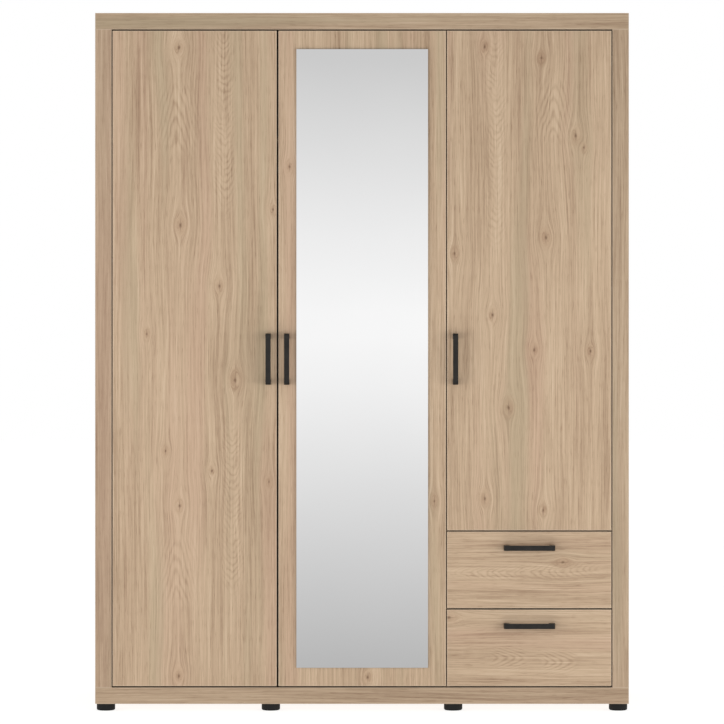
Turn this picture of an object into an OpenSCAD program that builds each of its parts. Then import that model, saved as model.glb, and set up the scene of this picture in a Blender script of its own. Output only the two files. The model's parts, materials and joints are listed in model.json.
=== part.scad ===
// Wardrobe with three hinged doors, the middle one with a mirror, and two drawers.
// Millimetres. Inside place(), X runs right from the left side, Y runs back from the plane
// of the door fronts, and Z runs up from the underside of the bottom board.

/* [Carcass] */
// Outside width
body_w = 1500; // [1250:1:1800]
// Outside height, without the feet
body_h = 1942; // [1620:1:2330]
// Outside depth, without the handles
body_d = 580; // [485:5:700]
// Thickness of the sides, the top and the bottom
frame_t = 46; // [39:1:57]
// Thickness of the divider and the shelves
board_t = 16; // [15:0.5:19]
// Clear width of the narrow bay on the right
narrow_bay_w = 458.5; // [381:0.5:550]
// Thickness of the back panels
back_t = 3; // [2.5:0.5:4]
// Distance that the back panels stay inside the outer edges
back_inset = 8; // [4:1:14]
// Face skin of the hollow frame boards
skin_t = 10; // [9:0.5:13]
// Solid rim of the hollow frame boards
rim_w = 70; // [66:1:90]

/* [Doors] */
// Thickness of the doors and the drawer fronts
door_t = 16; // [15:0.1:19.2]
// Gap above, below and between the fronts
reveal = 4; // [2:0.5:5]
// Gap where the left and the centre door meet
pair_gap = 5; // [2:0.5:6]
// Margin beside the mirror
mirror_side = 50.5; // [30:0.5:80]
// Margin above and below the mirror
mirror_end = 52; // [30:1:120]
// Thickness of the mirror
mirror_t = 4; // [3:0.5:5]
// Thickness of the mounting tape
tape_t = 1; // [0.8:0.1:1.5]

/* [Drawers] */
// Height of a drawer front
drawer_front_h = 215; // [180:0.1:260]
// Height of a drawer side
drawer_side_h = 150; // [125:1:155]
// Thickness of the drawer sides and the drawer back
drawer_side_t = 12; // [12:0.5:15]
// Thickness of a drawer bottom
drawer_bottom_t = 3; // [3:0.5:6]
// Room on each side of a drawer for the roller runners
runner_room = 12.5; // [12.5:0.1:13.5]

/* [Inside] */
// Height of the space above the hat shelf
hat_space = 300; // [220:5:400]
// Distance of the rail's middle below the hat shelf
rail_drop = 60; // [45:1:90]
// Height of the oval rail
rail_h = 30; // [25:1:35]
// Width of the oval rail
rail_w = 15; // [12:0.5:20]

/* [Handles] */
// Distance between the two screws of a handle
handle_pitch = 128; // [96:32:224]
// Width of a handle's leg along the handle
handle_leg = 16; // [12:1:20]
// Width of a handle
handle_w = 14.5; // [10:0.5:18]
// How far a handle stands out
handle_out = 30; // [24:1:40]
// Thickness of the handle bar
handle_t = 8; // [6:0.5:10]
// Height of the door handles' middle above the bottom board's underside
handle_z = 969; // [800:1:1100]
// Distance from a door's free edge to the handle's middle
handle_edge = 23.5; // [18:0.5:40]
// Distance from a drawer front's top edge to the handle's middle
drawer_handle_drop = 45; // [30:1:100]

/* [Feet] */
// Height of the feet
foot_h = 20; // [12:1:30]
// Diameter of the feet
foot_d = 52; // [40:1:56]
// Distance from the sides to the middle of the outer feet
foot_side = 28; // [28:1:60]
// Distance from the middle of the wardrobe to the inner feet
foot_inner = 257; // [150:1:400]
// Distance from front and back to the middle of the feet
foot_depth = 30; // [30:1:80]

/* [Hinges] */
// Depth of the hinge cup
cup_depth = 12.5; // [11.5:0.5:12.5]
// Distance from a door's edge to the middle of the cup
cup_x = 21; // [21:0.5:22]
// Distance from a door's edge to the hinge pin
pin_x = 12; // [11.5:0.5:12.5]
// Radius of the hinge pin
pin_r = 1.3; // [1.1:0.1:1.5]
// Distance from a door's end to the nearest hinge
hinge_end = 90; // [80:5:120]

/* [Hidden] */

$fn = 48;
eps = 0.01;

// Colours
oak = [0.75, 0.65, 0.53];
pale_board = [0.86, 0.85, 0.82];
drawer_board = [0.90, 0.89, 0.86];
black_metal = [0.17, 0.17, 0.16];
black_plastic = [0.12, 0.12, 0.11];
nickel = [0.72, 0.72, 0.73];
white_steel = [0.92, 0.92, 0.90];
nylon = [0.96, 0.96, 0.94];
silver_glass = [0.82, 0.85, 0.86];
grey_foam = [0.45, 0.46, 0.48];

// Clearances
hole_fit = 0.1;        // radial room around screws and bolts
slot_fit = 0.2;        // room around a panel in a groove
shelf_fit = 1;         // side room of an adjustable shelf
run_fit = 0.08;        // radial room of a roller on its axle
pin_fit = 0.06;        // radial room of a hinge pin in the cup
swing_fit = 0.65;      // room between a door's edge and the hinge arm
seat_fit = 0.05;       // room between a hinge arm and its plate

// Carcass
strip_t = 1;                                   // flange of the joint strip
board_d = body_d - back_t - strip_t;           // depth of the frame boards
left_x = frame_t;                              // inner face of the left side
right_x = body_w - frame_t;                    // inner face of the right side
floor_z = frame_t;                             // upper face of the bottom board
roof_z = body_h - frame_t;                     // lower face of the top board
divider_x1 = right_x - narrow_bay_w;           // right face of the divider
divider_x0 = divider_x1 - board_t;             // left face of the divider
divider_mid = (divider_x0 + divider_x1) / 2;
pair_mid = (left_x + divider_x0) / 2;          // middle of the wide bay

// Back panels, split behind the middle of the wide bay and behind the divider
web_w = 1.6;                                   // web of the joint strip
back_left = [back_inset, pair_mid - web_w / 2 - slot_fit];
back_middle = [pair_mid + web_w / 2 + slot_fit, divider_mid - slot_fit];
back_right = [divider_mid + slot_fit, body_w - back_inset];

// Hinge geometry, seen from above: x from the door's edge, y back from its front face
cup_r = 17.5;
arm_t = 2.5;
arm_w = 14;
arm_start = 18;                                // angle at which the arm leaves the cup
cup_wall = 0.8;
cup_lip = 1.2;
cup_screw_x = 27;
cup_screw_z = 24;
pin_y = door_t - cup_depth + 3.5;
tail_r = norm([pin_x, door_t - pin_y]);        // the door's rear corner turns on this radius
arm_r = tail_r + swing_fit + arm_t / 2;
eye_r = 2.4;
cheek_in = 8.2;
cheek_out = 9.4;
cheek_w = 7.2;
cheek_h = 6.6;
corner_fit = 0.9;                              // room for a door's corner as it swings
hinge_gap = ceil((norm([pin_x, pin_y]) - pin_x + corner_fit) * 2) / 2;
inner_front = ceil(pin_y + tail_r + 2);        // front edge of divider and shelves
plate_base_t = 2;
plate_rail = 5.5;
plate_rail_half = 5.2;
plate_wing_w = 12;
plate_wing_half = 24;
plate_screw_z = 16;
plate_screw_y = inner_front + 29;
arm_screw_y = inner_front + 40;
plate_y0 = inner_front + 6;
plate_len = 46;
arm_end_y = inner_front + 54;

// Fronts
front_z0 = floor_z + reveal;
front_z1 = roof_z - reveal;
left_door = [left_x + hinge_gap, pair_mid - pair_gap / 2];
centre_door = [pair_mid + pair_gap / 2, divider_mid - hinge_gap / 2];
right_door = [divider_mid + hinge_gap / 2, right_x - hinge_gap];
lower_front_z = front_z0;
upper_front_z = lower_front_z + drawer_front_h + reveal;
right_door_z = upper_front_z + drawer_front_h + reveal;
mirror_x = [centre_door[0] + mirror_side, centre_door[1] - mirror_side];
mirror_z = [front_z0 + mirror_end, front_z1 - mirror_end];

// Shelves
shelf_count = 3;
shelf_back = board_d - 6;
fixed_shelf_z = right_door_z - (reveal + board_t) / 2;
fixed_shelf_top = fixed_shelf_z + board_t;
system_pitch = 32;
shelf_step = round((roof_z - fixed_shelf_top) / (shelf_count + 1) / system_pitch) * system_pitch;
hat_z = roof_z - hat_space - board_t;
rail_z = hat_z - rail_drop;
rail_y = body_d / 2;
shelf_pin_r = 2.5;
shelf_pin_in = 8;
shelf_pin_out = 8;
shelf_pin_flat = 2.2;                          // the seat lies this far above the pin's axis
shelf_pin_ys = [inner_front + 37, shelf_back - 33];

// Hinges: the tall doors have four, the right door three
tall_hinges = [for (i = [0:3]) front_z0 + hinge_end
  + i * (front_z1 - front_z0 - 2 * hinge_end) / 3];
right_hinges = [right_door_z + hinge_end,
  shelf_z(2) - plate_wing_half - 6, front_z1 - hinge_end];
hinge_rows = [                                 // door edge, mirrored, board face, heights
  [left_door[0], 0, -hinge_gap, tall_hinges],
  [centre_door[1], 1, centre_door[1] - divider_x0, tall_hinges],
  [right_door[1], 1, -hinge_gap, right_hinges]];

// Drawers
drawer_w = narrow_bay_w - 2 * runner_room;
drawer_x0 = divider_x1 + runner_room;
drawer_x1 = drawer_x0 + drawer_w;
side_lift = 22;                                // drawer side above the front's lower edge
groove_d = 5;
groove_lift = 10;
runner_len = floor((board_d - door_t - 40) / 50) * 50;
drawer_y1 = door_t + runner_len;
drawer_cam_zs = [40, drawer_side_h - 30];
drawer_cam_d = drawer_side_t - 2.6;

// Runners: u is the distance from the cabinet's face, z starts at the member's lower edge
runner_y = inner_front + 1;
member_h = 22.8;
member_flange = 10;
sheet_t = 1;
roller_r = 10;
roller_u = 2.5;
roller_w = 7;
axle_r = 2;
front_roller_y = runner_y + 12;
front_roller_z = 13.2;
rear_roller_y = drawer_y1 - 12;
rear_roller_z = 11.3;
top_flange_y = runner_y + 24;
side_over_member = 0.5;                        // drawer side above the cabinet member
drawer_flange_z = 23;
runner_screw_ys = [runner_y + 37, runner_y + runner_len / 2, runner_y + runner_len - 48];
drawer_screw_ys = [door_t + 40, door_t + runner_len / 2, drawer_y1 - 60];

// Fasteners
cam_r = 7.4;
cam_d = 12.4;
cam_reach = 24;                                // from the joint to the cam's middle
cam_face = board_t / 2;                        // from the bolt's axis to the cam's face
bolt_r = 3;
bolt_in = 11;                                  // bolt in the other board
cam_ys = [rim_w, board_d - rim_w];
shelf_cam_ys = [inner_front + 18, shelf_back - 18];
wood_screw_r = 1.7;
handle_screw_r = 2;
handle_len = handle_pitch + handle_leg;
back_screw_r = 1.25;
socket_screw_z = 21.5;
socket_plate_t = 3;
foot_top = 5;                                  // solid top of a foot above its counterbore
bracket_w = 40;
bracket_foot = 30;
bracket_leg = 40;
bracket_t = 2;
bracket_hole_r = 3;
bracket_hole_z = 25;                           // below the top board
bracket_screw_x = 12;
bracket_screw_y = -bracket_foot / 2 - 2;
bracket_xs = [left_x + 150, right_x - 150];

// Screws: length, shank radius, head radius and head height
plate_screw = [13, wood_screw_r, 3.4, 1.4];    // hinge plate to board
arm_screw = [6, handle_screw_r, 3.6, 1.6];     // hinge arm to plate
cup_screw = [11, wood_screw_r, 3.4, 1.4];      // hinge cup to door
handle_screw = [door_t + 12, handle_screw_r, 4.2, 2];
foot_screw = [26, wood_screw_r, 3.6, 2];
socket_screw = [11, wood_screw_r, 3.4, 1.2];
runner_screw = [9, wood_screw_r, 3.5, 0.8];    // runner to board
member_screw = [9, back_screw_r, 2.8, 0.8];    // runner to drawer side
side_screw = [34, wood_screw_r, 3.4, 1.2];     // drawer side to drawer back
bracket_screw = [13, wood_screw_r, 3.5, 1.2];
back_screw = [16, back_screw_r, 3, strip_t];
sheet_hole = 3;                                // depth of a hole through any sheet

function shelf_z(i) = fixed_shelf_top + i * shelf_step;
function front_z(lower) = lower ? lower_front_z : upper_front_z;
function side_z(lower) = front_z(lower) + side_lift;
function member_z(lower) = side_z(lower) - side_over_member;

// ---- Helpers ----

module place() {
  translate([-body_w / 2, handle_out - (body_d + handle_out) / 2, foot_h]) children();
}

// A cuboid between two corners
module block(low, high) {
  translate(low) cube(high - low);
}

// Turn +Z towards another direction
module to_right() { rotate([0, 90, 0]) children(); }
module to_left() { rotate([0, -90, 0]) children(); }
module to_back() { rotate([-90, 0, 0]) children(); }
module to_front() { rotate([90, 0, 0]) children(); }
module to_down() { rotate([180, 0, 0]) children(); }

// Screw with a flat head: the head stands on z = 0 and the shank goes down
module screw(size) {
  translate([0, 0, -size[0]]) cylinder(r = size[1], h = size[0] + eps, $fn = 24);
  cylinder(r = size[2], h = size[3], $fn = 24);
}

// Hole for a screw that goes down from z = 0
module screw_hole(length, r) {
  translate([0, 0, -length]) cylinder(r = r + hole_fit, h = length + 1, $fn = 24);
}

module rounded_rect(size, r) {
  square([size[0] - 2 * r, size[1]], center = true);
  square([size[0], size[1] - 2 * r], center = true);
  for (x = [-1, 1], y = [-1, 1])
    translate([x * (size[0] / 2 - r), y * (size[1] / 2 - r)]) circle(r = r);
}

// Upright oval: two half circles and a square
module oval(h, w) {
  square([w, h - w], center = true);
  for (s = [-1, 1]) translate([0, s * (h - w) / 2]) circle(r = w / 2);
}

// Part of a flat ring between two angles
module ring_sector(r, t, from, to) {
  far = 2 * (r + t);
  intersection() {
    difference() {
      circle(r = r + t / 2, $fn = 96);
      circle(r = r - t / 2, $fn = 96);
    }
    polygon([[0, 0], far * [cos(from), sin(from)],
      far * [cos((from + to) / 2), sin((from + to) / 2)], far * [cos(to), sin(to)]]);
  }
}

// Cam fastener. The bolt runs along Z through the joint at z = 0, the cam sits at +Z
// and its face looks along +Y.
module cam_fastener(face, depth) {
  translate([0, 0, -bolt_in]) cylinder(r = bolt_r, h = bolt_in + cam_reach - 1);
  difference() {
    translate([0, face - depth, cam_reach]) to_back() cylinder(r = cam_r, h = depth);
    cylinder(r = bolt_r + 0.4, h = cam_reach + 1);
    translate([0, face, cam_reach]) {
      cube([9, 3, 1.6], center = true);
      cube([1.6, 3, 9], center = true);
    }
  }
}

// The holes that a cam fastener needs in both boards
module cam_holes(face, depth) {
  translate([0, 0, -bolt_in - 0.5]) cylinder(r = bolt_r + 2 * hole_fit, h = bolt_in + cam_reach + 0.5);
  translate([0, face - depth - hole_fit, cam_reach])
    to_back() cylinder(r = cam_r + hole_fit, h = depth + hole_fit + 1);
}

// Every cam joint of the carcass, with the fastener's frame at each
module at_carcass_cams() {
  for (y = cam_ys) {
    for (x = [left_x - cam_face, divider_mid]) {
      translate([x, y, floor_z]) rotate([0, 0, -90]) children();
      translate([x, y, roof_z]) rotate([0, 0, -90]) mirror([0, 0, 1]) children();
    }
    translate([right_x + cam_face, y, floor_z]) rotate([0, 0, 90]) children();
    translate([right_x + cam_face, y, roof_z]) rotate([0, 0, 90]) mirror([0, 0, 1]) children();
  }
  for (y = shelf_cam_ys) {
    translate([left_x, y, hat_z + board_t / 2]) shelf_cam() children();
    translate([divider_x0, y, hat_z + board_t / 2]) mirror([1, 0, 0]) shelf_cam() children();
    translate([divider_x1, y, fixed_shelf_z + board_t / 2]) shelf_cam() children();
    translate([right_x, y, fixed_shelf_z + board_t / 2])
      mirror([1, 0, 0]) shelf_cam() children();
  }
}

// Fastener frame with the bolt along +X and the cam's face down
module shelf_cam() { rotate([180, 0, 0]) rotate([90, 0, 90]) children(); }

module carcass_cam_holes() { at_carcass_cams() cam_holes(cam_face, cam_d); }

// ---- Screw places ----

// Hinge frames: origin at the door's hinge edge and front face, x into the door
module at_hinges(row) {
  for (z = row[3]) translate([row[0], 0, z]) mirror([row[1], 0, 0]) children();
}

module hinge_plate_screw_holes() {
  for (row = hinge_rows) at_hinges(row)
    for (s = [-1, 1]) translate([row[2], plate_screw_y, s * plate_screw_z])
      to_right() screw_hole(plate_screw[0] - plate_base_t + 1, wood_screw_r);
}

// Runner frames: origin on the cabinet's face, x towards the drawer
module at_runner_faces() {
  translate([divider_x1, 0, 0]) children();
  translate([right_x, 0, 0]) mirror([1, 0, 0]) children();
}

module runner_screw_holes() {
  at_runner_faces() for (lower = [true, false], y = runner_screw_ys)
    translate([0, y, member_z(lower) + member_h / 2])
      to_right() screw_hole(runner_screw[0], wood_screw_r);
}

// Shelf pins: one frame at each, with x out of the board
module at_shelf_pins(spread) {
  for (i = [1:shelf_count], y = shelf_pin_ys, k = [-spread:spread])
    translate([0, y, shelf_z(i) - shelf_pin_flat + k * system_pitch]) {
      translate([divider_x1, 0, 0]) children();
      translate([right_x, 0, 0]) mirror([1, 0, 0]) children();
    }
}

module shelf_pin_holes() {
  at_shelf_pins(1) translate([-shelf_pin_in, 0, 0])
    to_right() cylinder(r = shelf_pin_r + hole_fit, h = shelf_pin_in + 1);
}

// Rail socket frames: origin on the board's face, x into the wide bay
module at_rail_sockets() {
  translate([left_x, rail_y, rail_z]) children();
  translate([divider_x0, rail_y, rail_z]) mirror([1, 0, 0]) children();
}

module rail_socket_screw_holes() {
  at_rail_sockets() for (s = [-1, 1])
    translate([0, 0, s * socket_screw_z])
      to_right() screw_hole(socket_screw[0] - socket_plate_t + 1, wood_screw_r);
}

// Back panel screws: origin on the outer face of the back panels, z out of it
module at_back_screws() {
  edge = (frame_t + back_inset) / 2;
  rows = 5;
  end_gap = 120;
  apart = 4.5;
  stagger = 20;
  for (i = [0:rows - 1]) {
    z = frame_t + end_gap + i * (body_h - 2 * (frame_t + end_gap)) / (rows - 1);
    for (x = [edge, body_w - edge]) translate([x, body_d - strip_t, z]) to_back() children();
    for (s = [-1, 1])
      translate([divider_mid + s * apart, body_d - strip_t, z + s * stagger]) to_back() children();
  }
  for (x = back_screw_xs(), z = [edge, body_h - edge])
    translate([x, body_d - strip_t, z]) to_back() children();
}

// Two places along the top and bottom edge of each back panel
function back_screw_xs() = [for (p = [back_left, back_middle, back_right], s = [0.2, 0.8])
  p[0] + s * (p[1] - p[0])];

module back_screw_holes() { at_back_screws() screw_hole(back_screw[0] + 1, back_screw_r); }

// Wall bracket frames: origin in the corner of top board and back panel
module at_brackets() {
  for (x = bracket_xs) translate([x, board_d, roof_z]) children();
}

module bracket_foot_screw_holes() {
  at_brackets() for (s = [-1, 1]) translate([s * bracket_screw_x, bracket_screw_y, 0])
    to_down() screw_hole(bracket_screw[0] - bracket_t + 1, wood_screw_r);
}

module at_feet() {
  for (x = [foot_side, body_w / 2 - foot_inner, body_w / 2 + foot_inner, body_w - foot_side],
       y = [foot_depth, board_d - foot_depth])
    translate([x, y, 0]) children();
}

// ---- Carcass ----

// The frame boards are light boards: two skins on a solid rim, hollow inside.
// Hollow of a side panel between its two faces in X
module side_hollow(x0, x1) {
  block([x0 + skin_t, rim_w, floor_z + rim_w], [x1 - skin_t, board_d - rim_w, roof_z - rim_w]);
}

// Hollows of the top or the bottom panel, with a rib over the divider
module flat_hollow(z0) {
  for (x = [[rim_w, divider_mid - rim_w / 2], [divider_mid + rim_w / 2, body_w - rim_w]])
    block([x[0], rim_w, z0 + skin_t], [x[1], board_d - rim_w, z0 + frame_t - skin_t]);
}

module left_side_panel() {
  color(oak) place() difference() {
    block([0, 0, floor_z], [left_x, board_d, roof_z]);
    side_hollow(0, left_x);
    carcass_cam_holes();
    hinge_plate_screw_holes();
    rail_socket_screw_holes();
    back_screw_holes();
  }
}

module right_side_panel() {
  color(oak) place() difference() {
    block([right_x, 0, floor_z], [body_w, board_d, roof_z]);
    side_hollow(right_x, body_w);
    carcass_cam_holes();
    hinge_plate_screw_holes();
    runner_screw_holes();
    shelf_pin_holes();
    back_screw_holes();
  }
}

module top_panel() {
  color(oak) place() difference() {
    block([0, 0, roof_z], [body_w, board_d, body_h]);
    flat_hollow(roof_z);
    carcass_cam_holes();
    bracket_foot_screw_holes();
    back_screw_holes();
  }
}

module bottom_panel() {
  color(oak) place() difference() {
    block([0, 0, 0], [body_w, board_d, floor_z]);
    flat_hollow(0);
    carcass_cam_holes();
    back_screw_holes();
    at_feet() to_down() screw_hole(foot_screw[0] - foot_top + 1, wood_screw_r);
  }
}

module divider_panel() {
  color(oak) place() difference() {
    block([divider_x0, inner_front, floor_z], [divider_x1, board_d, roof_z]);
    carcass_cam_holes();
    hinge_plate_screw_holes();
    rail_socket_screw_holes();
    runner_screw_holes();
    shelf_pin_holes();
    back_screw_holes();
  }
}

module fixed_shelf(x0, x1, z) {
  color(oak) place() difference() {
    block([x0, inner_front, z], [x1, shelf_back, z + board_t]);
    carcass_cam_holes();
  }
}

module drawer_top_shelf() { fixed_shelf(divider_x1, right_x, fixed_shelf_z); }

module hat_shelf() { fixed_shelf(left_x, divider_x0, hat_z); }

module loose_shelf(i) {
  color(oak) place()
    block([divider_x1 + shelf_fit, inner_front, shelf_z(i)],
      [right_x - shelf_fit, shelf_back, shelf_z(i) + board_t]);
}

module upper_shelf() { loose_shelf(3); }
module middle_shelf() { loose_shelf(2); }
module lower_shelf() { loose_shelf(1); }

module back_panel(span) {
  color(pale_board) place() difference() {
    block([span[0], board_d, back_inset], [span[1], board_d + back_t, body_h - back_inset]);
    at_back_screws() screw_hole(back_t + 1, back_screw_r);
    at_brackets() translate([0, back_t + 1, -bracket_hole_z])
      to_front() cylinder(r = bracket_hole_r + 0.5, h = back_t + 2);
  }
}

module back_panel_left() { back_panel(back_left); }
module back_panel_middle() { back_panel(back_middle); }
module back_panel_right() { back_panel(back_right); }

// H-shaped strip that holds the edges of two back panels
module back_joint_strip() {
  flange = 8;
  low = back_inset;
  high = body_h - back_inset;
  color(white_steel) place() {
    block([pair_mid - web_w / 2, board_d, low], [pair_mid + web_w / 2, body_d, high]);
    block([pair_mid - web_w / 2, board_d - strip_t, floor_z],
      [pair_mid + web_w / 2, body_d, roof_z]);
    block([pair_mid - flange, board_d - strip_t, floor_z], [pair_mid + flange, board_d, roof_z]);
    block([pair_mid - flange, body_d - strip_t, low], [pair_mid + flange, body_d, high]);
  }
}

module hanging_rail() {
  gap = 3.5;
  color(nickel) place() translate([left_x + gap, rail_y, rail_z])
    rotate([90, 0, 90]) linear_extrude(height = divider_x0 - left_x - 2 * gap) difference() {
      oval(rail_h, rail_w);
      oval(rail_h - 2, rail_w - 2);
    }
}

module rail_sockets() {
  cup_t = 12;
  wall = 2;
  fit = 0.3;
  color(nickel) place() at_rail_sockets() difference() {
    union() {
      rotate([90, 0, 90]) linear_extrude(height = socket_plate_t)
        rounded_rect([rail_w + 13, 2 * socket_screw_z + 13], 5);
      rotate([90, 0, 90]) linear_extrude(height = cup_t)
        oval(rail_h + 2 * (wall + fit), rail_w + 2 * (wall + fit));
    }
    translate([socket_plate_t, 0, 0]) rotate([90, 0, 90]) linear_extrude(height = cup_t) {
      oval(rail_h + 2 * fit, rail_w + 2 * fit);
      translate([-rail_w / 2 - fit, 0]) square([rail_w + 2 * fit, rail_h]);
    }
    for (s = [-1, 1]) translate([0, 0, s * socket_screw_z])
      to_right() cylinder(r = wood_screw_r + hole_fit, h = 3 * cup_t, center = true, $fn = 24);
  }
}

module shelf_pins() {
  color(nickel) place() at_shelf_pins(0) difference() {
    translate([-shelf_pin_in + 0.2, 0, 0])
      to_right() cylinder(r = shelf_pin_r, h = shelf_pin_in + shelf_pin_out - 0.2);
    translate([0, -shelf_pin_r - 1, shelf_pin_flat])
      cube([shelf_pin_out + 1, 2 * shelf_pin_r + 2, shelf_pin_r]);
  }
}

module feet() {
  round_r = 5;
  counterbore_r = 5;
  color(black_plastic) place() at_feet() translate([0, 0, -foot_h]) difference() {
    rotate_extrude($fn = 96) {
      square([foot_d / 2 - round_r, foot_h]);
      translate([0, round_r]) square([foot_d / 2, foot_h - round_r]);
      intersection() {
        translate([foot_d / 2 - round_r, round_r]) circle(r = round_r);
        square([foot_d, foot_h]);
      }
    }
    translate([0, 0, -1]) cylinder(r = counterbore_r, h = foot_h - foot_top + 1);
    cylinder(r = wood_screw_r + hole_fit, h = 2 * foot_h, $fn = 24);
  }
}

module cam_fasteners() {
  color(nickel) place() at_carcass_cams() cam_fastener(cam_face, cam_d);
}

// ---- Hinges ----

module hinge_plate(face_x) {
  difference() {
    union() {
      block([face_x, plate_y0, -plate_rail_half],
        [face_x + plate_rail, plate_y0 + plate_len, plate_rail_half]);
      block([face_x, plate_screw_y - plate_wing_w / 2, -plate_wing_half],
        [face_x + plate_base_t, plate_screw_y + plate_wing_w / 2, plate_wing_half]);
    }
    for (s = [-1, 1]) translate([face_x + plate_base_t, plate_screw_y, s * plate_screw_z])
      to_right() screw_hole(sheet_hole, wood_screw_r);
    translate([face_x + plate_rail, arm_screw_y, 0]) to_right() screw_hole(4.5, handle_screw_r);
  }
}

// Arm that reaches round the door's edge into the cup, with its eye on the pin
module hinge_arm(face_x) {
  cheek_t = 1.4;
  strip_x = face_x + plate_rail + arm_t / 2 + seat_fit;
  bend = acos((strip_x - pin_x) / arm_r);
  strip_y = pin_y + arm_r * sin(bend);
  difference() {
    union() {
      linear_extrude(height = arm_w, center = true) {
        translate([pin_x, pin_y]) {
          circle(r = eye_r);
          rotate(arm_start) translate([0, -arm_t / 2]) square([arm_r, arm_t]);
          rotate(arm_start) translate([arm_r, 0]) circle(r = arm_t / 2);
          ring_sector(arm_r, arm_t, arm_start, bend);
        }
        translate([strip_x, strip_y]) circle(r = arm_t / 2);
        translate([strip_x - arm_t / 2, strip_y]) square([arm_t, arm_end_y - strip_y]);
      }
      for (s = [-1, 1])
        translate([face_x + plate_base_t + 0.5, plate_y0 + 2, s * (arm_w - cheek_t) / 2 - cheek_t / 2])
          cube([plate_rail - plate_base_t, plate_len, cheek_t]);
    }
    translate([pin_x, pin_y, 0]) cylinder(r = pin_r + 0.03, h = arm_w + 2, center = true);
    translate([strip_x + arm_t, arm_screw_y, 0]) to_right() screw_hole(2 * arm_t, handle_screw_r);
  }
}

module hinge_cup() {
  difference() {
    union() {
      translate([cup_x, door_t + eps, 0]) to_front() cylinder(r = cup_r, h = cup_depth, $fn = 96);
      translate([cup_x, door_t, 0]) to_back() cylinder(r = cup_r + 1.5, h = cup_lip, $fn = 96);
      block([cup_screw_x - 6, door_t, -cup_screw_z - 5],
        [cup_screw_x + 6, door_t + cup_lip, cup_screw_z + 5]);
    }
    translate([cup_x, door_t + cup_lip + 1, 0]) to_front()
      cylinder(r = cup_r - cup_wall, h = cup_depth + cup_lip + 1 - cup_wall, $fn = 96);
    for (s = [-1, 1]) translate([cup_screw_x, door_t + cup_lip, s * cup_screw_z])
      to_back() screw_hole(sheet_hole, wood_screw_r);
  }
  for (s = [-1, 1]) difference() {
    translate([pin_x - cheek_w / 2, door_t - cup_depth + cup_wall / 2, s > 0 ? cheek_in : -cheek_out])
      cube([cheek_w, cheek_h, cheek_out - cheek_in]);
    translate([pin_x, pin_y, 0]) cylinder(r = pin_r + pin_fit, h = 3 * cheek_out, center = true);
  }
}

module hinge_plates() {
  color(nickel) place() for (row = hinge_rows) at_hinges(row) hinge_plate(row[2]);
}

module hinge_arms() {
  color(nickel) place() for (row = hinge_rows) at_hinges(row) hinge_arm(row[2]);
}

module hinge_pins() {
  color(nickel) place() for (row = hinge_rows) at_hinges(row)
    translate([pin_x, pin_y, 0]) cylinder(r = pin_r, h = 2 * cheek_out, center = true);
}

module hinge_screws() {
  color(nickel) place() for (row = hinge_rows) at_hinges(row) {
    for (s = [-1, 1]) translate([row[2] + plate_base_t, plate_screw_y, s * plate_screw_z])
      to_right() screw(plate_screw);
    translate([row[2] + plate_rail + arm_t + seat_fit, arm_screw_y, 0])
      to_right() screw(arm_screw);
  }
}

module carcass_screws() {
  color(nickel) place() {
    at_back_screws() screw(back_screw);
    at_feet() translate([0, 0, -foot_top]) to_down() screw(foot_screw);
    at_rail_sockets() for (s = [-1, 1]) translate([socket_plate_t, 0, s * socket_screw_z])
      to_right() screw(socket_screw);
    at_runner_faces() for (lower = [true, false], y = runner_screw_ys)
      translate([sheet_t, y, member_z(lower) + member_h / 2])
        to_right() screw(runner_screw);
    at_brackets() for (s = [-1, 1]) translate([s * bracket_screw_x, bracket_screw_y, -bracket_t])
      to_down() screw(bracket_screw);
  }
}

module wall_brackets() {
  color(nickel) place() at_brackets() difference() {
    union() {
      block([-bracket_w / 2, -bracket_foot, -bracket_t], [bracket_w / 2, 0, 0]);
      block([-bracket_w / 2, -bracket_t, -bracket_leg], [bracket_w / 2, 0, 0]);
    }
    translate([0, 1, -bracket_hole_z]) to_front() cylinder(r = bracket_hole_r, h = bracket_t + 2);
    for (s = [-1, 1]) translate([s * bracket_screw_x, bracket_screw_y, -bracket_t])
      to_down() screw_hole(sheet_hole, wood_screw_r);
  }
}

// ---- Doors ----

module door_board(span, z0, row) {
  color(oak) place() difference() {
    block([span[0], 0, z0], [span[1], door_t, front_z1]);
    at_hinges(row) {
      translate([cup_x, door_t + 1, 0]) to_front()
        cylinder(r = cup_r + hole_fit, h = cup_depth + hole_fit + 1, $fn = 96);
      for (s = [-1, 1]) translate([cup_screw_x, door_t, s * cup_screw_z])
        to_back() screw_hole(cup_screw[0], wood_screw_r);
    }
    children();
  }
}

// Handle frames: origin in the middle of the handle on the front face, x along the handle
module at_door_handle(edge_x, side) {
  translate([edge_x + side * handle_edge, 0, handle_z]) rotate([0, 90, 0]) children();
}

module left_handle_place() { at_door_handle(left_door[1], -1) children(); }
module centre_handle_place() { at_door_handle(centre_door[0], 1) children(); }
module right_handle_place() { at_door_handle(right_door[0], 1) children(); }

module bar_handle() {
  outer_r = 8;
  inner_r = 4;
  screw_depth = 15;
  difference() {
    linear_extrude(height = handle_w, center = true) difference() {
      rounded_rect([handle_len, 2 * handle_out], outer_r);
      rounded_rect([handle_pitch - handle_leg, 2 * (handle_out - handle_t)], inner_r);
      translate([-handle_len, 0]) square([2 * handle_len, 2 * handle_out]);
    }
    for (s = [-1, 1]) translate([s * handle_pitch / 2, 1, 0])
      to_front() cylinder(r = handle_screw_r + hole_fit, h = screw_depth, $fn = 24);
  }
}

module handle_screw_holes() {
  for (s = [-1, 1]) translate([s * handle_pitch / 2, door_t, 0])
    to_back() screw_hole(door_t + 1, handle_screw_r);
}

module handle_screws() {
  for (s = [-1, 1]) translate([s * handle_pitch / 2, door_t, 0])
    to_back() screw(handle_screw);
}

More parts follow.
